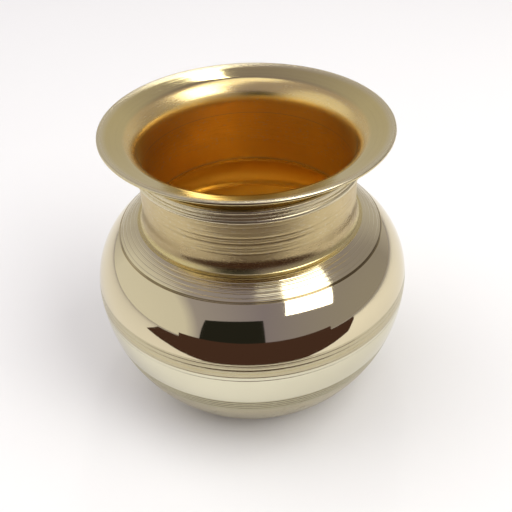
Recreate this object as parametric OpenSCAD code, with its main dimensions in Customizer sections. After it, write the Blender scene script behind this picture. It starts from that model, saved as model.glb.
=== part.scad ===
// Round-bellied brass water pot: a flared mouth ring, a neck collar and the two halves
// of the belly, each turned from sheet and brazed to the next in a lap joint.
// Millimetres, +Z up, origin at the centre of the base.

/* [Mouth] */
// Height of the whole pot, base to lip
pot_h = 98; // [84:1:120]
// Radius of the lip, to its outer edge
lip_r = 46; // [43:0.5:56]
// Thickness of the mouth ring
mouth_t = 1.2; // [0.9:0.05:1.6]
// Slope of the flange, in degrees below level
flange_slope = 19; // [8:1:30]
// Section radius of the curve from the flange into the throat
throat_curve_r = 8; // [6:0.1:9]
// Length of the mouth ring's spigot inside the collar
spigot_h = 3.8; // [2.5:0.1:5]

/* [Neck] */
// Radius of the bore through the neck
bore_r = 33.8; // [28:0.1:35.5]
// Thickness of the collar's plain wall
neck_t = 1.2; // [0.9:0.05:1.6]
// Thickness of the collar's socket wall, between its beads
socket_t = 0.8; // [0.6:0.05:1.2]
// Section radius of the upper bead
upper_bead_r = 0.7; // [0.5:0.05:0.9]
// Section radius of the lower bead
lower_bead_r = 1; // [0.7:0.05:1.2]
// Section radius of the fine ridge between the beads
ridge_r = 0.3; // [0.2:0.05:0.4]
// Section radius of the cove where the neck runs out into its foot
foot_cove_r = 7; // [5:0.25:9]
// Spread of the cove beyond the neck's plain wall
foot_spread = 1.3; // [0.8:0.1:2]
// Width of the foot's rim outside the cove
foot_rim_w = 0.9; // [0.6:0.1:1.6]
// Height of the foot's edge above the shoulder
foot_step = 0.35; // [0.2:0.05:0.5]
// Thickness of the foot where it laps the shoulder
foot_t = 0.9; // [0.7:0.05:1.2]

/* [Belly] */
// Radius of the belly at its widest
belly_r = 53; // [48:0.5:64]
// Height of the belly's widest line
belly_z = 42; // [36:0.5:46]
// Section radius of the shoulder's curve
shoulder_curve_r = 25.5; // [21:0.25:27.5]
// Thickness of the belly's wall
wall_t = 1.2; // [0.9:0.05:1.6]
// Depth of the lap inside the bowl's rim
belly_lap_h = 4; // [3:0.25:6]
// Height of the web that joins the lap to the shoulder
belly_web_h = 1.8; // [1.2:0.1:3]

/* [Base] */
// Radius of the pushed-in middle of the base
dish_r = 22; // [14:0.5:24]
// Height of the pushed-in middle above the base
dish_h = 1; // [0.4:0.1:1.6]
// Width of the slope round the pushed-in middle
dish_slope_w = 4; // [1:0.25:5]

/* [Turned lines] */
// Radius of the circle of the deep line cut in the shoulder
deep_line_r = 43.7; // [41:0.1:46]
// Section radius of the deep line
deep_line_cut_r = 0.4; // [0.2:0.05:0.5]
// Section radius of every fine line
fine_line_cut_r = 0.24; // [0.14:0.02:0.3]
// Depth of every fine line
fine_line_depth = 0.12; // [0.06:0.01:0.2]
// Number of fine lines round the neck
neck_lines = 2; // [1:1:4]
// Pitch of the neck's lines
neck_pitch = 1.8; // [1:0.1:2]
// Number of fine lines between the foot and the deep line
shoulder_lines = 4; // [1:1:6]
// Number of fine lines in the belt, on each side of the seam
belt_lines = 2; // [1:1:3]
// Pitch of the belt's lines, along the wall
belt_pitch = 1.5; // [1:0.1:1.8]
// Number of fine lines low on the bowl
bowl_lines = 4; // [1:1:6]
// Pitch of the bowl's lines, along the wall
bowl_pitch = 1.3; // [0.8:0.1:1.6]
// Height of the highest line low on the bowl
bowl_lines_z = 27; // [20:0.5:32]

/* [Brazing] */
// Gap that the brazing filler takes up in every joint
braze_gap = 0.15; // [0.1:0.01:0.2]
// Leg of the filler's fillet under the belly's lap
braze_leg = 0.8; // [0.5:0.05:1]

/* [Hidden] */
// Segments of a full turn, of a large curve and of a small section
turn_fn = 240;
curve_fn = 180;
section_fn = 48;
// Steps of the throat's curve and of the rounded lip
throat_steps = 24;
lip_steps = 12;
// Overlap of shapes that make one solid
eps = 0.01;

// Mouth ring: the middle of the rounded lip, then the middle of the throat's curve
lip_mid = [lip_r - mouth_t / 2, pot_h - mouth_t / 2];
mean_curve_r = throat_curve_r - mouth_t / 2;
flange_along = [-cos(flange_slope), -sin(flange_slope)];
flange_out = [-sin(flange_slope), cos(flange_slope)];
throat_mid_r = bore_r + throat_curve_r;
flange_l = (lip_mid.x + mean_curve_r * sin(flange_slope) - throat_mid_r) / cos(flange_slope);
throat_mid = lip_mid + flange_l * flange_along - mean_curve_r * flange_out;
spigot_r = bore_r + mouth_t;
spigot_z = throat_mid.y - spigot_h;

// Collar: its socket takes the spigot, with the braze gap at the side and at the end
neck_r = bore_r + neck_t;
socket_r = spigot_r + braze_gap;
socket_outer_r = socket_r + socket_t;
shelf_z = spigot_z - braze_gap;
collar_top_z = throat_mid.y;
upper_bead_mid = [socket_outer_r - upper_bead_r / 4, collar_top_z - upper_bead_r / 4];
lower_bead_mid = [socket_outer_r - lower_bead_r / 2, shelf_z + lower_bead_r / 2];
ridge_mid = [socket_outer_r, (upper_bead_mid.y + lower_bead_mid.y) / 2];

// Foot of the collar, laid on the shoulder's curve, and the recess that takes it
ring_mid_r = belly_r - shoulder_curve_r;
cove_end_r = neck_r + foot_spread;
foot_r = cove_end_r + foot_rim_w;
foot_top_curve_r = shoulder_curve_r + foot_step;
foot_under_curve_r = foot_top_curve_r - foot_t;
lap_curve_r = foot_under_curve_r - braze_gap;
lap_recess_r = foot_r + braze_gap;
lap_web_r = lap_recess_r + wall_t;
cove_mid_r = neck_r + foot_cove_r;
cove_mid_z = ring_z(foot_top_curve_r, cove_end_r)
    + sqrt(pow(foot_cove_r, 2) - pow(cove_mid_r - cove_end_r, 2));

// Bowl: part of a sphere about the belly's middle, with the shoulder's lap inside its rim
bowl_inner_r = belly_r - wall_t;
belly_lap_r = bowl_inner_r - braze_gap;
belly_lap_z = belly_z - belly_lap_h;
bowl_rim_z = belly_z - braze_gap;
lap_corner_r = sqrt(pow(bowl_inner_r, 2) - pow(belly_lap_h, 2));

// Height of the lowest line on the neck: the lines lie midway between cove and lower bead
neck_lines_z = (cove_mid_z + lower_bead_mid.y - (neck_lines - 1) * neck_pitch) / 2;

// Angles of the lines, about the middle of the curve that they are cut in
foot_angle = acos((lap_recess_r - ring_mid_r) / shoulder_curve_r);
deep_line_angle = acos((deep_line_r - ring_mid_r) / shoulder_curve_r);
shoulder_step_angle = (foot_angle - deep_line_angle) / (shoulder_lines + 1);
bowl_lines_angle = -asin((belly_z - bowl_lines_z) / belly_r);

// Height at radius r on a section curve about the shoulder's ring
function ring_z(curve_r, r) = belly_z + sqrt(pow(curve_r, 2) - pow(r - ring_mid_r, 2));

// Angle that a length along a curve of the given radius takes up
function arc_angle(length, curve_r) = length / curve_r * 180 / PI;

// Points along an arc, from one angle to another
function arc(mid, arc_r, from, to, steps) =
    [for (i = [0 : steps]) let (a = from + (to - from) * i / steps) mid + arc_r * [cos(a), sin(a)]];

// Rectangle between two radii and two heights
module band(r0, r1, z0, z1) {
    translate([r0, z0]) square([r1 - r0, z1 - z0]);
}

// Disc about the shoulder's ring, and disc about the belly's middle
module ring_disc(disc_r) {
    translate([ring_mid_r, belly_z]) circle(r = disc_r, $fn = curve_fn);
}

module belly_disc(disc_r) {
    translate([0, belly_z]) circle(r = disc_r, $fn = curve_fn);
}

// Cutter for one line, at an angle round a curve whose middle is at mid_r
module line_cut(mid_r, curve_r, angle, cut_r, depth) {
    reach = curve_r + cut_r - depth;
    translate([mid_r + reach * cos(angle), belly_z + reach * sin(angle)])
        circle(r = cut_r, $fn = section_fn);
}

module fine_line(mid_r, curve_r, angle) {
    line_cut(mid_r, curve_r, angle, fine_line_cut_r, fine_line_depth);
}

module bead(mid, bead_r) {
    translate(mid) circle(r = bead_r, $fn = section_fn);
}

module turned() {
    rotate_extrude($fn = turn_fn) children();
}

module mouth_ring() {
    color("darkkhaki") turned() polygon(concat(
        [[bore_r, spigot_z]],
        arc(throat_mid, throat_curve_r, 180, 90 + flange_slope, throat_steps),
        arc(lip_mid, mouth_t / 2, 90 + flange_slope, flange_slope - 90, lip_steps),
        arc(throat_mid, throat_curve_r - mouth_t, 90 + flange_slope, 180, throat_steps),
        [[spigot_r, spigot_z]]
    ));
}

module neck_collar() {
    color("tan") turned() difference() {
        union() {
            band(bore_r, neck_r, belly_z, shelf_z + eps);
            band(bore_r, socket_outer_r, shelf_z - neck_t / 2, collar_top_z);
            bead(upper_bead_mid, upper_bead_r);
            bead(lower_bead_mid, lower_bead_r);
            bead(ridge_mid, ridge_r);
            difference() {
                band(bore_r, foot_r, belly_z, cove_mid_z);
                translate([cove_mid_r, cove_mid_z]) circle(r = foot_cove_r, $fn = curve_fn);
            }
            intersection() {
                band(bore_r, foot_r, belly_z, cove_mid_z);
                ring_disc(foot_top_curve_r);
            }
        }
        band(0, socket_r, shelf_z, pot_h);
        ring_disc(foot_under_curve_r);
        for (i = [0 : neck_lines - 1])
            translate([neck_r + fine_line_cut_r - fine_line_depth, neck_lines_z + i * neck_pitch])
                circle(r = fine_line_cut_r, $fn = section_fn);
    }
}

module shoulder_shell() {
    color("silver") turned() difference() {
        union() {
            intersection() {
                difference() {
                    ring_disc(shoulder_curve_r);
                    ring_disc(shoulder_curve_r - wall_t);
                }
                band(lap_recess_r, belly_r + eps, belly_z, pot_h);
            }
            intersection() {
                difference() {
                    ring_disc(lap_curve_r);
                    ring_disc(lap_curve_r - wall_t);
                }
                band(bore_r, lap_web_r, belly_z, pot_h);
            }
            intersection() {
                difference() {
                    belly_disc(belly_lap_r);
                    belly_disc(belly_lap_r - wall_t);
                }
                band(bore_r, belly_r, belly_lap_z, belly_z + belly_web_h);
            }
            band(belly_lap_r - wall_t / 2, belly_r - wall_t / 2, belly_z, belly_z + belly_web_h);
        }
        line_cut(ring_mid_r, shoulder_curve_r, deep_line_angle, deep_line_cut_r, deep_line_cut_r);
        for (i = [1 : shoulder_lines])
            fine_line(ring_mid_r, shoulder_curve_r, deep_line_angle + i * shoulder_step_angle);
        for (i = [1 : belt_lines])
            fine_line(ring_mid_r, shoulder_curve_r, arc_angle(i * belt_pitch, shoulder_curve_r));
    }
}

module bowl_shell() {
    color("lightgoldenrodyellow") turned() difference() {
        union() {
            intersection() {
                difference() {
                    belly_disc(belly_r);
                    belly_disc(bowl_inner_r);
                }
                band(0, belly_r, 0, bowl_rim_z);
            }
            intersection() {
                belly_disc(belly_r);
                polygon([
                    [0, dish_h],
                    [dish_r, dish_h],
                    [dish_r + dish_slope_w, 0],
                    [belly_r, 0],
                    [belly_r, wall_t],
                    [dish_r + dish_slope_w, wall_t],
                    [dish_r, dish_h + wall_t],
                    [0, dish_h + wall_t]
                ]);
            }
        }
        for (i = [1 : belt_lines]) fine_line(0, belly_r, -arc_angle(i * belt_pitch, belly_r));
        for (i = [0 : bowl_lines - 1])
            fine_line(0, belly_r, bowl_lines_angle - arc_angle(i * bowl_pitch, belly_r));
    }
}

module mouth_braze() {
    color("gold") turned() {
        band(spigot_r, socket_r, shelf_z, collar_top_z);
        band(bore_r, socket_r, shelf_z, spigot_z);
    }
}

module neck_braze() {
    color("gold") turned() difference() {
        union() {
            intersection() {
                ring_disc(foot_under_curve_r);
                band(bore_r, lap_recess_r, belly_z, pot_h);
            }
            intersection() {
                ring_disc(shoulder_curve_r);
                band(foot_r, lap_recess_r, belly_z, pot_h);
            }
        }
        ring_disc(lap_curve_r);
    }
}

module belly_braze() {
    color("gold") turned() {
        difference() {
            union() {
                intersection() {
                    belly_disc(belly_r);
                    band(bore_r, belly_r, bowl_rim_z, belly_z);
                }
                intersection() {
                    belly_disc(bowl_inner_r);
                    band(bore_r, belly_r, belly_lap_z, belly_z);
                }
            }
            belly_disc(belly_lap_r);
        }
        intersection() {
            belly_disc(bowl_inner_r);
            polygon([
                [lap_corner_r + wall_t, belly_lap_z],
                [lap_corner_r - braze_leg, belly_lap_z],
                [lap_corner_r, belly_lap_z - braze_leg],
                [lap_corner_r + wall_t, belly_lap_z - braze_leg]
            ]);
        }
    }
}

mouth_ring();
neck_collar();
shoulder_shell();
bowl_shell();
mouth_braze();
neck_braze();
belly_braze();
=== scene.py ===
"""Looks of a round-bellied brass water pot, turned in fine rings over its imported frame."""

import logging
import math
from dataclasses import dataclass, field
from enum import Enum

import bpy
from mathutils import Matrix, Vector


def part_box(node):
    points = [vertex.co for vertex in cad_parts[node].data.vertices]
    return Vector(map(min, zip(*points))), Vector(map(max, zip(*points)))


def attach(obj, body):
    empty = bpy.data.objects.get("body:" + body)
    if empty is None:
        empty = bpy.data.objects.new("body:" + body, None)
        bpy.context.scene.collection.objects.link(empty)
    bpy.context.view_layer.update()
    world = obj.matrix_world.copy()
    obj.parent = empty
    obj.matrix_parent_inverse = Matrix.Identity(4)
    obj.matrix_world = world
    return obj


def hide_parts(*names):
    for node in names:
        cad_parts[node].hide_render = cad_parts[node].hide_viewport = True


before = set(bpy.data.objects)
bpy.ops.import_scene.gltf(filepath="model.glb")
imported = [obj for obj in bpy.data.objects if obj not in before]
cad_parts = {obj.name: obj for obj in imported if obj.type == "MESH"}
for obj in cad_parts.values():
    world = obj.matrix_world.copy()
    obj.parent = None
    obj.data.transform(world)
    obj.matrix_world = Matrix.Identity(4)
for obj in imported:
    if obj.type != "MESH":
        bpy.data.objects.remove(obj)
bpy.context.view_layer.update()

LOG = logging.getLogger("brass_pot")
MM = 0.001
BODY = "root"
SECTION_FACTS = ("along", "inner", "line_darkening")
FULL_DARK_DEPTH = 0.40
BUMP_DISTANCE = 0.00003
FILLER_LEG = 0.8
FILLER_STEPS = 6
CRISP_ANGLE = 40.0
WAVER_RISE, WAVER_SCALE, WAVER_RADIUS = 12.0, 1.3, 0.05
INSIDE = (1.0, 1.0)
Point = tuple[float, float]
Place = tuple[float, float, float]
Colour = tuple[float, float, float]
Paint = tuple[float, float, float, float]
Socket = bpy.types.NodeSocket


def add_object(name: str, data: bpy.types.ID) -> bpy.types.Object:
    """Puts a new object in the scene.

    Args:
        name: Its name.
        data: Its mesh, lamp or camera.

    Returns:
        The object.
    """
    thing = bpy.data.objects.new(name, data)
    bpy.context.scene.collection.objects.link(thing)
    return thing


def rise_angle(rise: float, radius: float) -> float:
    """Angle in degrees at which a point of a circle is so far above its middle."""
    return math.degrees(math.asin(rise / radius))


# ------------ sections


@dataclass(frozen=True)
class Groove:
    """One line turned into a wall: its place along the stretch and its cut, in millimetres."""

    place: float
    half_width: float
    depth: float

    def cut(self, at: float) -> float:
        """Depth of the cut at a distance along the stretch.

        Args:
            at: Distance along the stretch.

        Returns:
            How far the wall is sunk there.
        """
        across = (at - self.place) / self.half_width
        return self.depth * (1 - across * across) if abs(across) < 1 else 0.0


@dataclass
class Outline:
    """Closed section of a turned piece, walked as (radius, height) in millimetres."""

    points: list[Point] = field(default_factory=list)
    inner: list[float] = field(default_factory=list)
    line_darkening: list[float] = field(default_factory=list)

    def corner(self, r: float, z: float, inner: float = 0.0, sunk: float = 0.0) -> "Outline":
        """Adds one corner.

        Args:
            r: Its radius.
            z: Its height.
            inner: Share of the inside finish there.
            sunk: Depth of the line that it lies in.

        Returns:
            The outline.
        """
        self.points.append((r, z))
        self.inner.append(inner)
        # Share of darkening in a turned line, growing with the line's depth.
        self.line_darkening.append(min(1.0, sunk / FULL_DARK_DEPTH))
        return self

    def _stations(self, length: float, pitch: float, grooves: tuple[Groove, ...]) -> list[float]:
        """Distances at which a stretch is sampled.

        Args:
            length: Length of the stretch.
            pitch: Widest gap between two samples.
            grooves: Lines cut in the stretch.

        Returns:
            Sorted distances, closer together in every line.
        """
        steps = max(1, math.ceil(length / pitch))
        found = {round(length * i / steps, 5) for i in range(steps + 1)}
        for groove in grooves:
            for i in range(-4, 5):
                at = groove.place + groove.half_width * i / 4
                if 0 < at < length:
                    found.add(round(at, 5))
        return sorted(found)

    def line(self, end: Point, pitch: float = 2.0, inner: Point = (0.0, 0.0),
             grooves: tuple[Groove, ...] = ()) -> "Outline":
        """Adds a straight stretch from the last corner.

        Args:
            end: Where the stretch ends.
            pitch: Widest gap between two samples.
            inner: Share of the inside finish at its start and at its end.
            grooves: Lines cut into the wall, from its outer side.

        Returns:
            The outline.
        """
        r0, z0 = self.points[-1]
        length = math.hypot(end[0] - r0, end[1] - z0)
        along = ((end[0] - r0) / length, (end[1] - z0) / length)
        for at in self._stations(length, pitch, grooves)[1:]:
            sunk = sum(groove.cut(at) for groove in grooves)
            self.corner(r0 + along[0] * at - abs(along[1]) * sunk, z0 + along[1] * at,
                        inner[0] + (inner[1] - inner[0]) * at / length, sunk)
        return self

    def arc(self, mid: Point, radius: float, start: float, end: float, pitch: float = 0.8,
            inner: Point = (0.0, 0.0), grooves: tuple[Groove, ...] = ()) -> "Outline":
        """Adds an arc between two angles in degrees.

        Args:
            mid: Middle of the arc.
            radius: Radius of the arc.
            start: Angle of its first point.
            end: Angle of its last point.
            pitch: Widest gap between two samples.
            inner: Share of the inside finish at its start and at its end.
            grooves: Lines cut into the arc, from its outer side.

        Returns:
            The outline.
        """
        length = abs(math.radians(end - start)) * radius
        for at in self._stations(length, pitch, grooves):
            angle = math.radians(start + (end - start) * at / length)
            sunk = sum(groove.cut(at) for groove in grooves)
            reach = radius - sunk
            self.corner(mid[0] + reach * math.cos(angle), mid[1] + reach * math.sin(angle),
                        inner[0] + (inner[1] - inner[0]) * at / length, sunk)
        return self

    def mesh(self, name: str) -> bpy.types.Mesh:
        """Makes the section a chain of edges that is walked with its solid on the left.

        Args:
            name: Name of the mesh.

        Returns:
            The mesh, with its length along the wall and its share of the inside finish.
        """
        rows = list(zip(self.points, self.inner, self.line_darkening))
        kept = [rows[0]] + [b for a, b in zip(rows, rows[1:]) if math.dist(a[0], b[0]) > 1e-4]
        if math.dist(kept[0][0], kept[-1][0]) > 1e-4:
            kept.append(kept[0])
        steps = [(a[0], b[0]) for a, b in zip(kept, kept[1:])]
        if sum(a[0] * b[1] - b[0] * a[1] for a, b in steps) < 0:
            kept.reverse()
            steps = [(b, a) for a, b in reversed(steps)]
        along = [0.0]
        for a, b in steps:
            along.append(along[-1] + math.dist(a, b) * MM)
        section = bpy.data.meshes.new(name)
        section.from_pydata([(r * MM, 0.0, z * MM) for (r, z), _, _ in kept],
                            [(i, i + 1) for i in range(len(kept) - 1)], [])
        for key, values in zip(SECTION_FACTS, (along, [row[1] for row in kept],
                                               [row[2] for row in kept])):
            section.attributes.new(key, "FLOAT", "POINT").data.foreach_set("value", values)
        return section


# ------------ laying out nodes


class Nodes:
    """Lays out the nodes of one tree."""

    def __init__(self, tree: bpy.types.NodeTree) -> None:
        """Takes the tree."""
        self.tree = tree

    def put(self, target: Socket, value: object) -> None:
        """Links a socket, or sets its value.

        Args:
            target: The input.
            value: A socket or a plain value.
        """
        if isinstance(value, Socket):
            self.tree.links.new(value, target)
        else:
            target.default_value = value

    def node(self, kind: str, inputs: dict[str, object] | None = None,
             **settings: object) -> bpy.types.Node:
        """Adds one node.

        Args:
            kind: Type of the node.
            inputs: Sockets or values for its inputs, by name.
            settings: Its properties.

        Returns:
            The node.
        """
        node = self.tree.nodes.new(kind)
        for key, value in settings.items():
            setattr(node, key, value)
        for key, value in (inputs or {}).items():
            self.put(next(s for s in node.inputs if s.name == key and s.enabled), value)
        return node

    def maths(self, operation: str, *terms: object, clamp: bool = False) -> Socket:
        """Adds a maths node.

        Args:
            operation: What it does.
            terms: Sockets or numbers.
            clamp: Whether the result is kept between 0 and 1.

        Returns:
            Its result.
        """
        node = self.node("ShaderNodeMath", operation=operation, use_clamp=clamp)
        for socket, term in zip(node.inputs, terms):
            self.put(socket, term)
        return node.outputs[0]

    def noise(self, vector: Socket, scale: float, detail: float = 2.0,
              roughness: float = 0.5) -> Socket:
        """Adds a noise pattern.

        Args:
            vector: Where it is read.
            scale: Its scale.
            detail: Its octaves.
            roughness: Strength of its finer octaves.

        Returns:
            Its value, from 0 to 1.
        """
        return self.node("ShaderNodeTexNoise", {
            "Vector": vector, "Scale": scale, "Detail": detail,
            "Roughness": roughness}).outputs[0]

    def remap(self, value: object, low: float, high: float, to_low: float = 0.0,
              to_high: float = 1.0) -> Socket:
        """Stretches a range of a value onto another.

        Args:
            value: The value.
            low: Start of its range.
            high: End of its range.
            to_low: Result at the start and below it.
            to_high: Result at the end and above it.

        Returns:
            The stretched value.
        """
        return self.node("ShaderNodeMapRange", {
            "Value": value, "From Min": low, "From Max": high, "To Min": to_low,
            "To Max": to_high}).outputs[0]

    def blend(self, share: object, first: object, second: object) -> Socket:
        """Mixes two colours.

        Args:
            share: Share of the second one.
            first: First colour, as a socket or four numbers.
            second: Second colour.

        Returns:
            The mixed colour.
        """
        node = self.node("ShaderNodeMix", data_type="RGBA")
        self.put(node.inputs[0], share)
        self.put(node.inputs[6], first)
        self.put(node.inputs[7], second)
        return node.outputs[2]

    def ramp(self, fac: Socket, stops: list[tuple[float, Paint]]) -> Socket:
        """Adds a colour ramp.

        Args:
            fac: Where the ramp is read.
            stops: Place and colour of each stop, in order.

        Returns:
            Its colour.
        """
        node = self.node("ShaderNodeValToRGB", {"Fac": fac})
        elements = node.color_ramp.elements
        while len(elements) < len(stops):
            elements.new(0.5)
        for element, (place, colour) in zip(elements, stops):
            element.position = place
            element.color = colour
        return node.outputs[0]


# ------------ turning, as a node tree


class TurningTree(Nodes):
    """Geometry Nodes tree that turns a section about the pot's axis."""

    def __init__(self) -> None:
        """Builds the tree with its named inputs."""
        super().__init__(bpy.data.node_groups.new("turning", "GeometryNodeTree"))
        self.inputs: dict[str, str] = {}
        for name, kind, default in (
                ("Section", "NodeSocketGeometry", None), ("Segments", "NodeSocketInt", 288),
                ("Waver", "NodeSocketFloat", 0.00008), ("Seed", "NodeSocketInt", 7),
                ("Finish", "NodeSocketMaterial", None)):
            socket = self.tree.interface.new_socket(name=name, in_out="INPUT", socket_type=kind)
            if default is not None:
                socket.default_value = default
            self.inputs[name] = socket.identifier
        self.tree.interface.new_socket(name="Turned", in_out="OUTPUT",
                                       socket_type="NodeSocketGeometry")
        self._build()

    def _sampled(self, geometry: Socket, kind: str, value: Socket, index: Socket) -> Socket:
        """Reads one value of the section at a row.

        Args:
            geometry: The section.
            kind: Data type of the value.
            value: The value, as a field.
            index: Row of the section.

        Returns:
            The value there.
        """
        return self.node("GeometryNodeSampleIndex", {
            "Geometry": geometry, "Value": value, "Index": index},
            data_type=kind, domain="POINT").outputs[0]

    def _build(self) -> None:
        """Lays a grid of rows and turns, bends it round the axis and dresses it."""
        given = self.node("NodeGroupInput").outputs
        section, segments = given["Section"], given["Segments"]
        rows = self.node("GeometryNodeAttributeDomainSize",
                         {"Geometry": section}).outputs["Point Count"]
        grid = self.node("GeometryNodeMeshGrid", {
            "Vertices X": self.maths("ADD", segments, 1.0), "Vertices Y": rows})
        index = self.node("GeometryNodeInputIndex").outputs[0]
        row = self.maths("FLOORED_MODULO", index, rows)
        turn = self.maths("FLOOR", self.maths("DIVIDE", self.maths("ADD", index, 0.5), rows))
        angle = self.maths("MULTIPLY", self.maths("DIVIDE", turn, segments), math.tau)
        cosine, sine = self.maths("COSINE", angle), self.maths("SINE", angle)
        place = self._sampled(section, "FLOAT_VECTOR",
                              self.node("GeometryNodeInputPosition").outputs[0], row)
        split = self.node("ShaderNodeSeparateXYZ", {"Vector": place}).outputs
        swing = self.node("ShaderNodeCombineXYZ", {
            "X": cosine, "Y": sine, "Z": self.maths("MULTIPLY", split["Z"], WAVER_RISE)})
        noise = self.node("ShaderNodeTexNoise", {
            "Vector": swing.outputs[0], "W": given["Seed"], "Scale": WAVER_SCALE,
            "Detail": 1.0},
            noise_dimensions="4D")
        waver = self.maths("MULTIPLY", self.maths("SUBTRACT", noise.outputs[0], 0.5),
                           given["Waver"])
        reach = self.maths("MULTIPLY", split["X"],
                           self.maths("ADD", self.maths("DIVIDE", waver, WAVER_RADIUS), 1.0))
        bent = self.node("ShaderNodeCombineXYZ", {
            "X": self.maths("MULTIPLY", reach, cosine),
            "Y": self.maths("MULTIPLY", reach, sine), "Z": split["Z"]})
        made = self.node("GeometryNodeSetPosition", {
            "Geometry": grid.outputs["Mesh"], "Position": bent.outputs[0]}).outputs[0]
        for fact in SECTION_FACTS:
            read = self.node("GeometryNodeInputNamedAttribute", {"Name": fact},
                             data_type="FLOAT").outputs[0]
            made = self.node("GeometryNodeStoreNamedAttribute", {
                "Geometry": made, "Name": fact,
                "Value": self._sampled(section, "FLOAT", read, row)},
                data_type="FLOAT", domain="POINT").outputs[0]
        for kind, inputs in (("GeometryNodeMergeByDistance", {"Distance": 0.000001}),
                             ("GeometryNodeSetShadeSmooth", {}),
                             ("GeometryNodeRealizeInstances", {}),
                             ("GeometryNodeSetMaterial", {"Material": given["Finish"]})):
            made = self.node(kind, {"Geometry": made, **inputs}).outputs[0]
        self.put(self.node("NodeGroupOutput").inputs[0], made)

    def turn(self, name: str, outline: Outline, finish: bpy.types.Material,
             segments: int) -> bpy.types.Object:
        """Turns one section into a plain mesh object.

        Args:
            name: Name of the piece.
            outline: Its section.
            finish: Its material.
            segments: Facets in a full turn.

        Returns:
            The piece, at the origin, with no modifier.
        """
        blank = add_object(name + "_section", outline.mesh(name + "_section"))
        lathe = blank.modifiers.new("turning", "NODES")
        lathe.node_group = self.tree
        lathe[self.inputs["Segments"]] = segments
        lathe[self.inputs["Finish"]] = finish
        depsgraph = bpy.context.evaluated_depsgraph_get()
        mesh = bpy.data.meshes.new_from_object(
            blank.evaluated_get(depsgraph), preserve_all_data_layers=True, depsgraph=depsgraph)
        blank.modifiers.remove(lathe)
        bpy.data.objects.remove(blank)
        mesh.name = name
        mesh.set_sharp_from_angle(angle=math.radians(CRISP_ANGLE))
        return add_object(name, mesh)


# ------------ finishes


class Tone(Enum):
    """Tones that the brass takes, as linear colours, with a painted pale reflection and a
    painted cove shade.
    """

    CHAMPAGNE = (0.66, 0.585, 0.40)
    # Painted reflection: a pale tone that stands in for the pale floor mirrored in the bowl's
    # band, and for painted glints.
    PAINTED_REFLECTION = (0.71, 0.675, 0.51)
    STRAW = (0.62, 0.52, 0.26)
    SAND = (0.60, 0.485, 0.26)
    GOLD = (0.76, 0.58, 0.27)
    KHAKI = (0.52, 0.46, 0.30)
    OLIVE = (0.45, 0.41, 0.265)
    # Painted shade: a darker brown for the neck's cove, where shade falls.
    PAINTED_COVE_SHADE = (0.46, 0.36, 0.19)
    AMBER = (0.94, 0.64, 0.18)
    TARNISH = (0.20, 0.12, 0.035)
    # Dark brown that the turned lines are darkened towards.
    LINE_DARK = (0.10, 0.06, 0.02)

    @property
    def paint(self) -> Paint:
        """The tone with full cover."""
        return (*self.value, 1.0)


@dataclass(frozen=True)
class Surface:
    """How a stretch of wall was worked: its roughness, turning marks and wear."""

    roughness: float
    marks: float
    wear: float


class Work(Enum):
    """Ways in which the wall was worked."""

    MIRROR = Surface(0.045, 0.02, 0.10)
    COMBED = Surface(0.09, 0.14, 0.20)
    BRIGHT = Surface(0.15, 0.08, 0.15)
    FLANGE = Surface(0.06, 0.07, 0.18)
    SOFT = Surface(0.27, 0.14, 0.30)
    SATIN = Surface(0.24, 0.28, 0.40)
    TURNED = Surface(0.35, 0.48, 0.60)
    RAW = Surface(0.40, 0.50, 0.90)


@dataclass(frozen=True)
class Zone:
    """A band of the wall between two heights in millimetres, with one tone and one work."""

    low: float
    high: float
    tone: Tone
    work: Work


class Shading(Nodes):
    """Nodes of one material, round its metal shader."""

    def __init__(self, name: str) -> None:
        """Starts the material."""
        self.material = bpy.data.materials.new(name)
        self.material.use_nodes = True
        super().__init__(self.material.node_tree)
        self.shader = next(n for n in self.tree.nodes if n.type == "BSDF_PRINCIPLED")

    def dress(self, **values: object) -> bpy.types.Material:
        """Feeds the shader's inputs by name, with _ for a space.

        Args:
            values: A socket or a plain value for each input.

        Returns:
            The material.
        """
        for key, value in values.items():
            self.put(self.shader.inputs[key.replace("_", " ")], value)
        return self.material


class Wall:
    """What a finish reads at a point of a turned wall: its place, its turn and its facts."""

    def __init__(self, shade: Shading, low: float, high: float) -> None:
        """Lays out the nodes that find the place on the wall, between two heights."""
        self.shade = shade
        self.place = shade.node("ShaderNodeTexCoord").outputs["Object"]
        split = shade.node("ShaderNodeSeparateXYZ", {"Vector": self.place}).outputs
        self.height = shade.remap(split["Z"], low * MM, high * MM)
        flat = shade.node("ShaderNodeCombineXYZ", {"X": split["X"], "Y": split["Y"], "Z": 0.0})
        outward = shade.node("ShaderNodeVectorMath", operation="NORMALIZE")
        shade.put(outward.inputs[0], flat.outputs[0])
        self.turn = shade.node("ShaderNodeSeparateXYZ", {"Vector": outward.outputs[0]}).outputs
        self.along, self.inner, self.line_darkening = (
            shade.node("ShaderNodeAttribute", attribute_name=fact).outputs["Fac"]
            for fact in SECTION_FACTS)

    def streaks(self, reach: float, pitch: float, detail: float = 1.0,
                roughness: float = 0.5) -> Socket:
        """Noise drawn out round the wall.

        Args:
            reach: How many marks follow each other round the wall.
            pitch: Distance in millimetres from mark to mark along the wall.
            detail: Octaves of the noise.
            roughness: Strength of its finer octaves.

        Returns:
            Its value, from 0 to 1.
        """
        at = self.shade.node("ShaderNodeCombineXYZ", {
            "X": self.shade.maths("MULTIPLY", self.turn["X"], reach),
            "Y": self.shade.maths("MULTIPLY", self.turn["Y"], reach),
            "Z": self.shade.maths("DIVIDE", self.along, pitch * MM)})
        return self.shade.noise(at.outputs[0], 1.0, detail, roughness)

    def way_round(self) -> Socket:
        """Direction round the pot, in which the wall was turned."""
        return self.shade.node("ShaderNodeCombineXYZ", {
            "X": self.shade.maths("MULTIPLY", self.turn["Y"], -1.0), "Y": self.turn["X"],
            "Z": 0.0}).outputs[0]


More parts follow.
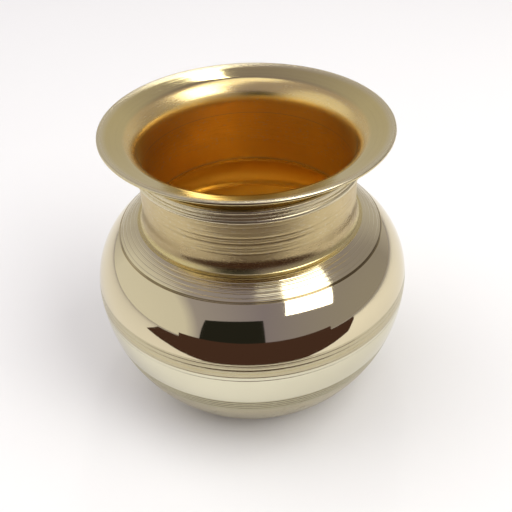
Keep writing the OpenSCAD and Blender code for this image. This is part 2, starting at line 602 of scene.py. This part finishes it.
@dataclass(frozen=True)
class Marks:
    """Sockets of the marks on a wall, each with its strength already in it."""

    strength: Socket
    wear: Socket
    lines: Socket
    dashes: Socket
    dulled: Socket

    @staticmethod
    def laid(wall: Wall, strength: Socket, wear: Socket) -> "Marks":
        """Lays the marks on a wall.

        Args:
            wall: The wall.
            strength: Strength of the turning marks.
            wear: Strength of the wear.

        Returns:
            Fine lines, dark dashes and dull clouds.
        """
        shade = wall.shade
        lines = shade.maths("SUBTRACT", wall.streaks(2.0, 0.45, 3.0, 0.7), 0.5)
        dashes = shade.remap(wall.streaks(14.0, 0.35), 0.60, 0.72)
        clouds = shade.remap(shade.noise(wall.place, 55.0, 4.0, 0.6), 0.42, 0.75)
        return Marks(strength, wear, shade.maths("MULTIPLY", lines, strength),
                     shade.maths("MULTIPLY", dashes, strength),
                     shade.maths("MULTIPLY", clouds, wear))


@dataclass(frozen=True)
class TurnedBrass:
    """Brass turned on a lathe: bands by height outside, an amber tone inside."""

    name: str
    zones: tuple[Zone, ...]
    soften: float = 0.35
    inside: Tone = Tone.AMBER
    inside_roughness: float = 0.34
    anisotropy: float = 0.45

    def _stops(self, pick: str) -> list[tuple[float, Paint]]:
        """Ramp stops of the bands.

        Args:
            pick: "tone" for colours, "work" for roughness, marks and wear.

        Returns:
            Place and value of each stop.
        """
        low, high = self.zones[0].low, self.zones[-1].high
        stops = []
        for zone in self.zones:
            facts = zone.work.value
            value = zone.tone.paint if pick == "tone" else (
                facts.roughness, facts.marks, facts.wear, 1.0)
            for z in (zone.low + self.soften / 2, zone.high - self.soften / 2):
                stops.append(((z - low) / (high - low), value))
        return stops

    def _colour(self, wall: Wall, marks: Marks) -> Socket:
        """Tone of the metal, with its wear, its dirt and its glints.

        Args:
            wall: The wall.
            marks: Its marks.

        Returns:
            Tone of the metal, with its wear, its darker turned lines and its glints.
        """
        shade = wall.shade
        metal = shade.blend(wall.inner, shade.ramp(wall.height, self._stops("tone")),
                            self.inside.paint)
        darker = shade.blend(0.42, metal, Tone.TARNISH.paint)
        tinted = shade.blend(shade.maths("MULTIPLY", marks.dulled, 0.45), metal, darker)
        tinted = shade.blend(shade.maths("MULTIPLY", marks.dashes, 0.45), tinted, darker)
        patchy = shade.remap(wall.streaks(1.6, 40.0, 2.0), 0.38, 0.62, 0.15, 0.85)
        # The turned lines are darkened towards a dark brown, more in deeper lines, in patches.
        tinted = shade.blend(shade.maths("MULTIPLY", wall.line_darkening, patchy), tinted,
                             Tone.LINE_DARK.paint)
        # Glints are painted highlights: light specks mixed towards the pale painted-reflection
        # tone.
        glints = shade.maths("MULTIPLY", marks.strength,
                             shade.remap(wall.streaks(26.0, 0.5), 0.60, 0.68))
        tinted = shade.blend(shade.maths("MULTIPLY", glints, 0.7), tinted, Tone.PAINTED_REFLECTION.paint)
        streaked = shade.node("ShaderNodeVectorMath", operation="SCALE")
        shade.put(streaked.inputs[0], tinted)
        shade.put(streaked.inputs["Scale"], shade.maths(
            "ADD", 1.0, shade.maths("MULTIPLY", marks.lines, 0.45)))
        return streaked.outputs[0]

    def _roughness(self, wall: Wall, marks: Marks, rough: Socket) -> Socket:
        """Roughness, higher where the wall is dulled or marked.

        Args:
            wall: The wall.
            marks: Its marks.
            rough: Roughness of the bands outside.

        Returns:
            The roughness.
        """
        shade = wall.shade
        base = shade.node("ShaderNodeMix", data_type="FLOAT")
        for socket, value in zip((base.inputs[0], base.inputs[2], base.inputs[3]),
                                 (wall.inner, rough, self.inside_roughness)):
            shade.put(socket, value)
        worn = base.outputs[0]
        for mark, share in ((marks.dulled, 0.12), (marks.lines, 0.25)):
            worn = shade.maths("ADD", worn, shade.maths("MULTIPLY", mark, share))
        return shade.maths("ADD", worn, shade.maths("MULTIPLY", marks.dashes, 0.1), clamp=True)

    def _relief(self, wall: Wall, marks: Marks) -> Socket:
        """Bumped normal of the lines, the dashes, broad waves and grain.

        Args:
            wall: The wall.
            marks: Its marks.

        Returns:
            The normal.
        """
        shade = wall.shade
        wave = shade.maths("SUBTRACT", wall.streaks(1.2, 2.2, 2.0), 0.5)
        grain = shade.maths("SUBTRACT", shade.noise(wall.place, 1900.0, 2.0), 0.5)
        relief = shade.maths("MULTIPLY", marks.lines, 0.6)
        for part, share in (
                (marks.dashes, -0.4),
                (wave, shade.maths("ADD", shade.maths("MULTIPLY", marks.strength, 1.4), 0.12)),
                (grain, shade.maths("MULTIPLY", marks.wear, 0.12))):
            relief = shade.maths("ADD", relief, shade.maths("MULTIPLY", part, share))
        return shade.node("ShaderNodeBump", {"Height": relief, "Strength": 1.0,
                                             "Distance": BUMP_DISTANCE}).outputs[0]

    def build(self) -> bpy.types.Material:
        """Lays out the material's nodes.

        Returns:
            The material.
        """
        shade = Shading(self.name)
        wall = Wall(shade, self.zones[0].low, self.zones[-1].high)
        rough, strength, wear = shade.node("ShaderNodeSeparateColor", {
            "Color": shade.ramp(wall.height, self._stops("work"))}).outputs
        marks = Marks.laid(wall, strength, wear)
        return shade.dress(
            Base_Color=self._colour(wall, marks), Roughness=self._roughness(wall, marks, rough),
            Normal=self._relief(wall, marks), Tangent=wall.way_round(), Metallic=1.0,
            Anisotropic=self.anisotropy)


# ------------ the pot's parts


@dataclass(frozen=True)
class PotSizes:
    """Sizes shared by the turned parts, in millimetres, with heights taken from the frame."""

    lip_r: float
    pot_h: float
    spigot_z: float
    belly_r: float
    bowl_rim_z: float
    mouth_t: float = 1.2
    flange_slope: float = 19.0
    throat_curve_r: float = 8.0
    spigot_h: float = 3.8
    bore_r: float = 33.8
    wall_t: float = 1.2
    braze_gap: float = 0.15
    shoulder_curve_r: float = 25.5
    foot_r: float = 37.2
    foot_step: float = 0.35
    foot_t: float = 0.9
    belly_lap_h: float = 4.0

    @property
    def belly_z(self) -> float:
        """Height of the belly's widest line."""
        return self.bowl_rim_z + self.braze_gap

    @property
    def ring_mid(self) -> Point:
        """Middle of the shoulder's section curve."""
        return (self.belly_r - self.shoulder_curve_r, self.belly_z)

    @property
    def throat_mid(self) -> Point:
        """Middle of the throat's section curve."""
        return (self.bore_r + self.throat_curve_r, self.spigot_z + self.spigot_h)

    @property
    def spigot_r(self) -> float:
        """Outer radius of the mouth's spigot."""
        return self.bore_r + self.mouth_t

    @property
    def socket_r(self) -> float:
        """Inner radius of the collar's socket."""
        return self.spigot_r + self.braze_gap

    @property
    def shelf_z(self) -> float:
        """Height of the shelf under the spigot."""
        return self.spigot_z - self.braze_gap

    @property
    def lap_recess_r(self) -> float:
        """Radius of the recess that takes the collar's foot."""
        return self.foot_r + self.braze_gap

    @property
    def foot_top_curve_r(self) -> float:
        """Section radius of the foot's top."""
        return self.shoulder_curve_r + self.foot_step

    @property
    def foot_under_curve_r(self) -> float:
        """Section radius of the foot's underside."""
        return self.foot_top_curve_r - self.foot_t

    @property
    def lap_curve_r(self) -> float:
        """Section radius of the shoulder's lap under the foot."""
        return self.foot_under_curve_r - self.braze_gap

    def ring_angle(self, curve_r: float, r: float) -> float:
        """Angle in degrees at radius r on a curve about the shoulder's ring.

        Args:
            curve_r: Radius of the curve.
            r: Distance from the pot's axis.

        Returns:
            The angle.
        """
        return math.degrees(math.acos((r - self.ring_mid[0]) / curve_r))

    def on_ring(self, curve_r: float, r: float) -> float:
        """Height at radius r on a curve about the shoulder's ring.

        Args:
            curve_r: Radius of the curve.
            r: Distance from the pot's axis.

        Returns:
            The height.
        """
        return self.belly_z + math.sqrt(curve_r ** 2 - (r - self.ring_mid[0]) ** 2)

    @staticmethod
    def from_frame() -> "PotSizes":
        """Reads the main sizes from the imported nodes."""
        mouth_low, mouth_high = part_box("mouth_ring")
        _, bowl_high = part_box("bowl_shell")
        return PotSizes(lip_r=mouth_high.x / MM, pot_h=mouth_high.z / MM,
                        spigot_z=mouth_low.z / MM, belly_r=bowl_high.x / MM,
                        bowl_rim_z=bowl_high.z / MM)


@dataclass
class TurnedPart:
    """A part that is turned from one section."""

    sizes: PotSizes
    lathe: TurningTree
    name: str = "part"
    node: str = "node"
    slot: str = "slot"
    segments: int = 288

    def section(self) -> Outline:
        """Section of the part, made by each kind of part."""
        raise NotImplementedError

    def finish(self) -> bpy.types.Material:
        """Material of the part, made by each kind of part."""
        raise NotImplementedError

    def make(self) -> None:
        """Turns the part, dresses it and lets it stand for its node."""
        piece = self.lathe.turn(self.name, self.section(), self.finish(), self.segments)
        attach(piece, BODY)
        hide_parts(self.node)
        LOG.info("%s stands for %s with %d faces", self.name, self.node,
                 len(piece.data.polygons))


@dataclass
class MouthRing(TurnedPart):
    """Flared mouth with its rounded lip and its spigot."""

    name: str = "mouth_flare"
    node: str = "mouth_ring"
    slot: str = "mouth_brass"
    amber_from: float = 150.0
    amber_to: float = 168.0

    def section(self) -> Outline:
        """Section from the spigot over the flange and back under it."""
        s = self.sizes
        lip_mid = (s.lip_r - s.mouth_t / 2, s.pot_h - s.mouth_t / 2)
        over = 90 + s.flange_slope
        under_r = s.throat_curve_r - s.mouth_t
        outline = Outline().corner(s.bore_r, s.spigot_z, 1.0)
        outline.line((s.bore_r, s.throat_mid[1]), 0.8, INSIDE)
        outline.arc(s.throat_mid, s.throat_curve_r, 180, self.amber_to, 0.35, INSIDE)
        outline.arc(s.throat_mid, s.throat_curve_r, self.amber_to, self.amber_from, 0.25,
                    (1.0, 0.0))
        outline.arc(s.throat_mid, s.throat_curve_r, self.amber_from, over, 0.35)
        outline.line((lip_mid[0] + s.mouth_t / 2 * math.cos(math.radians(over)),
                      lip_mid[1] + s.mouth_t / 2 * math.sin(math.radians(over))), 0.5,
                     grooves=(Groove(1.1, 0.3, 0.02), Groove(3.0, 0.25, 0.015)))
        outline.arc(lip_mid, s.mouth_t / 2, over, s.flange_slope - 90, 0.12)
        outline.arc(s.throat_mid, under_r, over, 180, 0.4)
        return outline.corner(s.spigot_r, s.spigot_z)

    def finish(self) -> bpy.types.Material:
        """Satin brass with close turning marks, amber down the throat."""
        return TurnedBrass("mouth_satin_brass", (
            Zone(80.0, 95.4, Tone.GOLD, Work.SATIN),
            Zone(95.4, 97.5, Tone.STRAW, Work.FLANGE),
            Zone(97.5, 98.2, Tone.CHAMPAGNE, Work.SOFT)), soften=0.6,
            anisotropy=0.2).build()


@dataclass
class NeckCollar(TurnedPart):
    """Collar of the neck: socket with its beads, plain wall, cove and foot."""

    name: str = "neck_band"
    node: str = "neck_collar"
    slot: str = "neck_brass"
    neck_t: float = 1.2
    socket_t: float = 0.8
    upper_bead_r: float = 0.7
    lower_bead_r: float = 1.0
    ridge_r: float = 0.3
    cove_r: float = 7.0
    foot_spread: float = 1.3

    def section(self) -> Outline:
        """Section from the foot up the outer wall and down the bore."""
        s = self.sizes
        neck_r = s.bore_r + self.neck_t
        outer_r = s.socket_r + self.socket_t
        top_z = s.throat_mid[1]
        under_r, top_r = s.foot_under_curve_r, s.foot_top_curve_r
        cove_end = neck_r + self.foot_spread
        cove_mid_r = neck_r + self.cove_r
        cove_z = s.on_ring(top_r, cove_end) + math.sqrt(
            self.cove_r ** 2 - (cove_mid_r - cove_end) ** 2)
        upper = (outer_r - self.upper_bead_r / 4, top_z - self.upper_bead_r / 4)
        lower = (outer_r - self.lower_bead_r / 2, s.shelf_z + self.lower_bead_r / 2)
        ridge_z = (upper[1] + lower[1]) / 2

        def crossing(mid_r: float, bead_r: float, wall_r: float) -> float:
            """Angle in degrees at which a bead meets a wall at radius wall_r."""
            return math.degrees(math.acos((wall_r - mid_r) / bead_r))

        cove_from = 180 + math.degrees(math.acos((cove_mid_r - cove_end) / self.cove_r))
        outline = Outline().arc(s.ring_mid, under_r, s.ring_angle(under_r, s.bore_r),
                                s.ring_angle(under_r, s.foot_r), 0.8)
        outline.arc(s.ring_mid, top_r, s.ring_angle(top_r, s.foot_r),
                    s.ring_angle(top_r, cove_end), 0.15)
        outline.arc((cove_mid_r, cove_z), self.cove_r, cove_from, 180, 0.3)
        wall_end = lower[1] - self.lower_bead_r * math.sin(
            math.radians(crossing(lower[0], self.lower_bead_r, neck_r)))
        cuts = tuple(Groove(z - cove_z, half, depth) for z, half, depth in (
            (73.0, 0.16, 0.015), (74.2, 0.2, 0.02), (75.1, 0.14, 0.01), (76.73, 0.24, 0.035),
            (77.6, 0.14, 0.01), (78.53, 0.24, 0.035), (80.3, 0.15, 0.01), (82.2, 0.2, 0.015)))
        outline.line((neck_r, wall_end), 0.7, grooves=cuts)
        outline.arc(lower, self.lower_bead_r, -crossing(lower[0], self.lower_bead_r, neck_r),
                    crossing(lower[0], self.lower_bead_r, outer_r), 0.16)
        outline.arc((outer_r, ridge_z), self.ridge_r, -90, 90, 0.12)
        outline.arc(upper, self.upper_bead_r, -crossing(upper[0], self.upper_bead_r, outer_r),
                    crossing(upper[0], self.upper_bead_r, s.socket_r), 0.14)
        outline.line((s.socket_r, s.shelf_z), 1.0)
        outline.corner(s.bore_r, s.shelf_z, 1.0)
        return outline.line((s.bore_r, s.on_ring(under_r, s.bore_r)), 1.0, INSIDE)

    def finish(self) -> bpy.types.Material:
        """Turned brass, with painted shade darkening the cove, and bright along the foot."""
        return TurnedBrass("neck_turned_brass", (
            Zone(64.0, 67.4, Tone.STRAW, Work.SATIN),
            # Painted shade: the cove between the neck and its foot is given a darker tone.
            Zone(67.4, 72.8, Tone.PAINTED_COVE_SHADE, Work.SOFT),
            Zone(72.8, 83.6, Tone.SAND, Work.TURNED),
            Zone(83.6, 90.0, Tone.CHAMPAGNE, Work.SOFT)), soften=0.9).build()


@dataclass
class ShoulderShell(TurnedPart):
    """Upper half of the belly, with its recess for the foot and its lap into the bowl."""

    name: str = "belly_upper"
    node: str = "shoulder_shell"
    slot: str = "shoulder_brass"
    deep_line_r: float = 43.7
    deep_line: float = 0.4
    fine_line: float = 0.05
    fine_half: float = 0.21
    hair_line: float = 0.012
    hair_half: float = 0.16
    fine_lines: int = 4
    belt_lines: int = 2
    belt_pitch: float = 1.5
    web_h: float = 1.8

    def section(self) -> Outline:
        """Section from the belly's widest line up to the recess and back inside."""
        s = self.sizes
        curve = s.shoulder_curve_r
        mid = s.ring_mid
        foot_angle = s.ring_angle(curve, s.lap_recess_r)
        deep_angle = s.ring_angle(curve, self.deep_line_r)
        per_degree = math.radians(1.0) * curve
        step = (foot_angle - deep_angle) / (self.fine_lines + 1)
        grooves = [Groove(deep_angle * per_degree, self.deep_line, self.deep_line)]
        for i in range(1, self.fine_lines + 1):
            grooves.append(Groove((deep_angle + i * step) * per_degree, self.fine_half,
                                  self.fine_line))
        for i in range(3 * (self.fine_lines + 1)):
            if i % 3:
                grooves.append(Groove((deep_angle + (i / 3) * step) * per_degree,
                                      self.hair_half, self.hair_line))
        for i in range(1, self.belt_lines + 1):
            grooves.append(Groove(i * self.belt_pitch, self.fine_half, self.fine_line))
        outline = Outline().arc(mid, curve, 0, foot_angle, 0.7, grooves=tuple(grooves))
        lap_r, inner_lap_r = s.lap_curve_r, s.lap_curve_r - s.wall_t
        web_r = s.lap_recess_r + s.wall_t
        outline.arc(mid, lap_r, s.ring_angle(lap_r, s.lap_recess_r),
                    s.ring_angle(lap_r, s.bore_r), 1.0)
        outline.arc(mid, inner_lap_r, s.ring_angle(inner_lap_r, s.bore_r),
                    s.ring_angle(inner_lap_r, web_r), 0.8, INSIDE)
        inner_r = curve - s.wall_t
        outline.arc(mid, inner_r, s.ring_angle(inner_r, web_r),
                    rise_angle(self.web_h, inner_r), 1.0, INSIDE)
        sphere = s.belly_r - s.wall_t - s.braze_gap
        lap_inner = sphere - s.wall_t
        belly = (0.0, s.belly_z)
        outline.arc(belly, lap_inner, rise_angle(self.web_h, lap_inner),
                    -rise_angle(s.belly_lap_h, lap_inner), 1.0, INSIDE)
        outline.arc(belly, sphere, -rise_angle(s.belly_lap_h, sphere), 0, 1.0, INSIDE)
        return outline.corner(s.belly_r - s.wall_t / 2, s.belly_z)

    def finish(self) -> bpy.types.Material:
        """Mirror round the middle, combed lines above and a satin belt below."""
        return TurnedBrass("shoulder_polished_brass", (
            Zone(40.0, 45.7, Tone.KHAKI, Work.SATIN),
            Zone(45.7, 61.3, Tone.CHAMPAGNE, Work.MIRROR),
            Zone(61.3, 67.5, Tone.CHAMPAGNE, Work.COMBED)), soften=0.3,
            anisotropy=0.2).build()


@dataclass
class BowlShell(TurnedPart):
    """Lower half of the belly, with its lines and its pushed-in base."""

    name: str = "belly_lower"
    node: str = "bowl_shell"
    slot: str = "bowl_brass"
    dish_r: float = 22.0
    dish_h: float = 1.0
    slope_w: float = 4.0
    belt_lines: int = 2
    belt_pitch: float = 1.5
    low_lines: int = 4
    low_pitch: float = 1.3
    low_lines_z: float = 27.0
    line_depth: float = 0.06
    line_half: float = 0.21
    base_edge: float = 0.25

    def section(self) -> Outline:
        """Section from the rim down the outside, across the base and up the inside."""
        s = self.sizes
        outer, inner = s.belly_r, s.belly_r - s.wall_t
        mid = (0.0, s.belly_z)
        per_degree = math.radians(1.0) * outer
        start = rise_angle(s.braze_gap, outer)
        end = rise_angle(s.belly_z - self.base_edge, outer)
        low = rise_angle(s.belly_z - self.low_lines_z, outer) * per_degree
        places = [(i * self.belt_pitch, self.line_half, self.line_depth)
                  for i in range(1, self.belt_lines + 1)]
        places += [(low + i * self.low_pitch, self.line_half, 2 * self.line_depth)
                   for i in range(self.low_lines)]
        places += [(low + (i + 0.5) * self.low_pitch, 0.15, 0.015)
                   for i in range(self.low_lines + 2)]
        places += [(low - 0.9, 0.15, 0.025)]
        grooves = tuple(Groove(at - start * per_degree, half, depth)
                        for at, half, depth in places)
        outline = Outline().arc(mid, outer, -start, -end, 0.9, grooves=grooves)
        flat_r = math.sqrt(outer ** 2 - s.belly_z ** 2)
        outline.corner(flat_r - self.base_edge * 0.4, self.base_edge * 0.25)
        outline.corner(flat_r - self.base_edge * 1.4, 0.0)
        outline.corner(self.dish_r + self.slope_w, 0.0)
        outline.line((self.dish_r, self.dish_h), 0.8)
        outline.line((0.0, self.dish_h), 2.5)
        outline.corner(0.0, self.dish_h + s.wall_t, 1.0)
        outline.line((self.dish_r, self.dish_h + s.wall_t), 2.5, INSIDE)
        outline.line((self.dish_r + self.slope_w, s.wall_t), 0.8, INSIDE)
        floor_angle = rise_angle(s.belly_z - s.wall_t, inner)
        return outline.arc(mid, inner, -floor_angle, -start, 1.2, INSIDE)

    def finish(self) -> bpy.types.Material:
        """Satin belt, a polished band with a painted pale reflection, and a satin foot of the
        bowl.
        """
        return TurnedBrass("bowl_polished_brass", (
            Zone(-1.0, 21.5, Tone.KHAKI, Work.SATIN),
            Zone(21.5, 27.6, Tone.OLIVE, Work.SATIN),
            # Painted reflection: this band's pale tone stands in for the pale floor mirrored in
            # it.
            Zone(27.6, 40.2, Tone.PAINTED_REFLECTION, Work.BRIGHT),
            Zone(40.2, 44.0, Tone.KHAKI, Work.SATIN)), soften=0.5,
            anisotropy=0.3).build()


@dataclass
class BrazeRing(TurnedPart):
    """A ring of brazing filler between two parts."""

    corners: tuple[Point, ...] = ()
    slot: str = "brazing_filler"

    def section(self) -> Outline:
        """Section of the filler."""
        outline = Outline()
        for r, z in self.corners:
            outline.corner(r, z)
        return outline

    def finish(self) -> bpy.types.Material:
        """Filler brass, a little redder than the sheet."""
        found = bpy.data.materials.get("brazing_brass")
        return found or TurnedBrass("brazing_brass", (
            Zone(-1.0, 50.0, Tone.STRAW, Work.RAW),
            Zone(50.0, 99.0, Tone.STRAW, Work.RAW)), anisotropy=0.0).build()


def braze_rings(sizes: PotSizes, lathe: TurningTree) -> list[BrazeRing]:
    """Lists the three rings of filler.

    Args:
        sizes: The pot's sizes.
        lathe: Tree that turns them.

    Returns:
        The rings of the mouth, the neck and the belly.
    """
    s = sizes
    mouth = ((s.bore_r, s.shelf_z), (s.socket_r, s.shelf_z), (s.socket_r, s.throat_mid[1]),
             (s.spigot_r, s.throat_mid[1]), (s.spigot_r, s.spigot_z), (s.bore_r, s.spigot_z))
    steps = [s.bore_r + (s.foot_r - s.bore_r) * i / FILLER_STEPS
             for i in range(FILLER_STEPS + 1)]
    neck = tuple((r, s.on_ring(s.lap_curve_r, r)) for r in (*steps, s.lap_recess_r))
    neck += tuple((r, s.on_ring(s.shoulder_curve_r, r)) for r in (s.lap_recess_r, s.foot_r))
    neck += tuple((r, s.on_ring(s.foot_under_curve_r, r)) for r in reversed(steps))

    def on_belly(radius: float, depth: float) -> Point:
        """Point of a ball about the belly's middle, at a depth below it."""
        return (math.sqrt(radius ** 2 - depth ** 2), s.belly_z - depth)

    inner, depth = s.belly_r - s.wall_t, s.belly_lap_h
    lap = inner - s.braze_gap
    corner_r, lap_z = on_belly(inner, depth)
    belly = (on_belly(lap, 0.0), on_belly(lap, depth / 2), on_belly(lap, depth),
             (corner_r - FILLER_LEG, lap_z), on_belly(inner, depth + FILLER_LEG),
             (corner_r, lap_z), on_belly(inner, depth / 2), (inner, s.bowl_rim_z),
             (s.belly_r, s.bowl_rim_z), (s.belly_r, s.belly_z))
    return [BrazeRing(s, lathe, name="mouth_filler", node="mouth_braze", corners=mouth),
            BrazeRing(s, lathe, name="neck_filler", node="neck_braze", corners=neck),
            BrazeRing(s, lathe, name="belly_filler", node="belly_braze", corners=belly)]


# ------------ the studio


@dataclass(frozen=True)
class SoftBox:
    """A square soft box that faces the pot and doesn't show in reflections."""

    name: str
    middle: Place
    side: float
    colour: Colour
    strength: float
    aim: Place = (0.0, 0.0, 0.05)

    def hang(self) -> None:
        """Hangs the soft box."""
        data = bpy.data.lights.new(self.name, "AREA")
        data.size = self.side
        data.color = self.colour
        data.energy = self.strength * self.side ** 2 * math.pi
        lamp = add_object(self.name, data)
        lamp.location = self.middle
        way = Vector(self.aim) - Vector(self.middle)
        lamp.rotation_euler = way.to_track_quat("-Z", "Y").to_euler()
        lamp.visible_glossy = False


@dataclass(frozen=True)
class Board:
    """A board that the camera doesn't see; with lights set, it lights the floor too."""

    name: str
    colour: Colour
    corners: tuple[Place, ...]
    strength: float = 1.0
    lights: bool = False

    def stand(self) -> None:
        """Stands the board in the studio."""
        mesh = bpy.data.meshes.new(self.name)
        mesh.from_pydata(list(self.corners), [], [tuple(range(len(self.corners)))])
        board = add_object(self.name, mesh)
        mesh.materials.append(Shading(self.name).dress(
            Base_Color=(0.0, 0.0, 0.0, 1.0), Specular_IOR_Level=0.0,
            Emission_Color=(*self.colour, 1.0), Emission_Strength=self.strength))
        board.visible_camera = False
        board.visible_diffuse = self.lights
        board.visible_shadow = False


WINDOW_LIGHT = (1.0, 0.99, 0.96)
FILL_LIGHT = (1.0, 0.99, 0.98)
DARK_WOOD = (0.080, 0.040, 0.030)
PANEL_BLACK = (0.022, 0.022, 0.018)
WINDOWS = (
    Board("front_window", WINDOW_LIGHT, (
        (0.382, -0.857, 0.732), (0.875, -0.505, 0.565), (0.490, 0.2075, 1.051),
        (0.2205, -0.0546, 1.118)), 5.0, True),
    Board("back_window", WINDOW_LIGHT, (
        (0.062, 0.690, 0.850), (0.122, 0.682, 0.850), (0.080, 0.430, 1.010),
        (0.040, 0.440, 1.010)), 9.0, True))
BOARDS = (
    Board("low_board", DARK_WOOD, (
        (-0.15, -0.118, 0.001), (-0.25, -0.095, 0.001), (-0.50, -0.22, 0.001),
        (-1.2, -0.55, 0.001), (-1.2, -1.0, 0.001), (1.2, -1.0, 0.001), (1.2, -0.5, 0.001),
        (0.6, -0.26, 0.001), (0.18, -0.118, 0.001))),
    Board("tall_board", DARK_WOOD, (
        (-1.2, -1.0, 0.0), (1.2, -1.0, 0.0), (1.2, -1.0, 0.13), (-1.2, -1.0, 0.13))),
    Board("dark_panel", PANEL_BLACK, (
        (-0.58, -0.80, 0.11), (0.09, -0.80, 0.11), (0.09, -0.80, 0.60), (-0.58, -0.80, 0.60))),
    Board("ceiling_box", WINDOW_LIGHT, (
        (-0.30, -0.12, 1.3), (-0.04, -0.12, 1.3), (0.06, -0.48, 1.3), (0.42, -0.48, 1.3),
        (0.42, 0.32, 1.3), (-0.30, 0.32, 1.3)), 1.4, True))
ROOM_TONES = (
    (0.0, (0.90, 0.88, 0.84)), (0.14, (0.84, 0.82, 0.78)), (0.20, (0.44, 0.41, 0.46)),
    (0.55, (0.30, 0.27, 0.35)), (1.0, (0.40, 0.37, 0.35)))
BACK_OF_ROOM = (0.62, 0.59, 0.56, 1.0)
FLOOR_PAPER = (0.88, 0.88, 0.875, 1.0)


@dataclass(frozen=True)
class Studio:
    """Pale floor, soft light, boards that the polished brass reflects, and the camera."""

    camera_at: Place = (0.0, -0.2122, 0.2059)
    aim_height: float = 0.098
    lens: float = 53.4375
    tilt: float = -0.17539
    pan: float = 0.005679
    roll: float = -0.042810
    floor_reach: float = 4.0

    def camera(self) -> None:
        """Sets the camera at its place and turn."""
        at = Vector(self.camera_at)
        ahead = (Vector((0, 0, self.aim_height)) - at).normalized()
        right = Vector((1.0, 0.0, 0.0))
        up = right.cross(ahead)

        def turned(a: Vector, b: Vector, angle: float) -> tuple[Vector, Vector]:
            """Turns two axes in their own plane by an angle."""
            return (a * math.cos(angle) + b * math.sin(angle),
                    b * math.cos(angle) - a * math.sin(angle))

        ahead, up = turned(ahead, up, self.tilt)
        ahead, right = turned(ahead, right, self.pan)
        right, up = turned(right, up, self.roll)
        data = bpy.data.cameras.new("camera")
        data.lens, data.sensor_width = self.lens, 36.0
        data.clip_start, data.clip_end = 0.01, 20.0
        camera = add_object("camera", data)
        camera.matrix_world = Matrix((
            (right.x, up.x, -ahead.x, at.x), (right.y, up.y, -ahead.y, at.y),
            (right.z, up.z, -ahead.z, at.z), (0, 0, 0, 1)))
        bpy.context.scene.camera = camera

    def floor(self) -> None:
        """Lays the pale floor."""
        far = self.floor_reach
        mesh = bpy.data.meshes.new("floor")
        mesh.from_pydata([(-far, -far, 0), (far, -far, 0), (far, far, 0), (-far, far, 0)],
                         [], [(0, 1, 2, 3)])
        floor = add_object("floor", mesh)
        mesh.materials.append(Shading("floor_paper").dress(
            Base_Color=FLOOR_PAPER, Roughness=0.9, Specular_IOR_Level=0.1))

    def room(self) -> None:
        """Makes the soft room: brighter on the left, greyer on the right and in front."""
        world = bpy.data.worlds.new("soft_room")
        bpy.context.scene.world = world
        world.use_nodes = True
        room = Nodes(world.node_tree)
        way = room.node("ShaderNodeTexCoord").outputs["Generated"]
        split = room.node("ShaderNodeSeparateXYZ", {"Vector": way}).outputs
        sides = room.ramp(room.remap(split["X"], -1.0, 1.0),
                          [(at, (*colour, 1.0)) for at, colour in ROOM_TONES])
        backdrop = next(n for n in room.tree.nodes if n.type == "BACKGROUND")
        room.put(backdrop.inputs["Color"],
                 room.blend(room.remap(split["Y"], 0.45, 0.80), sides, BACK_OF_ROOM))
        backdrop.inputs["Strength"].default_value = 1.0

    def light(self) -> None:
        """Sets the windows, the fill, the dark boards and the ceiling."""
        for window in WINDOWS:
            window.stand()
        SoftBox("fill_box", (-1.0, 0.3, 1.6), 1.6, FILL_LIGHT, 1.5).hang()
        for board in BOARDS:
            board.stand()

    def view(self) -> None:
        """Sets how colours are shown."""
        settings = bpy.context.scene.view_settings
        settings.view_transform = "Standard"
        settings.look = "None"
        settings.exposure = 0.0


# ------------ main


def main() -> None:
    """Builds the pot's pieces in order, then the studio around them."""
    logging.basicConfig(level=logging.INFO, format="%(message)s")
    sizes = PotSizes.from_frame()
    lathe = TurningTree()
    for kind in (MouthRing, NeckCollar, ShoulderShell, BowlShell):
        kind(sizes, lathe).make()
    for ring in braze_rings(sizes, lathe):
        ring.make()
    studio = Studio()
    studio.camera()
    studio.floor()
    studio.room()
    studio.light()
    studio.view()


if __name__ == "__main__":
    main()
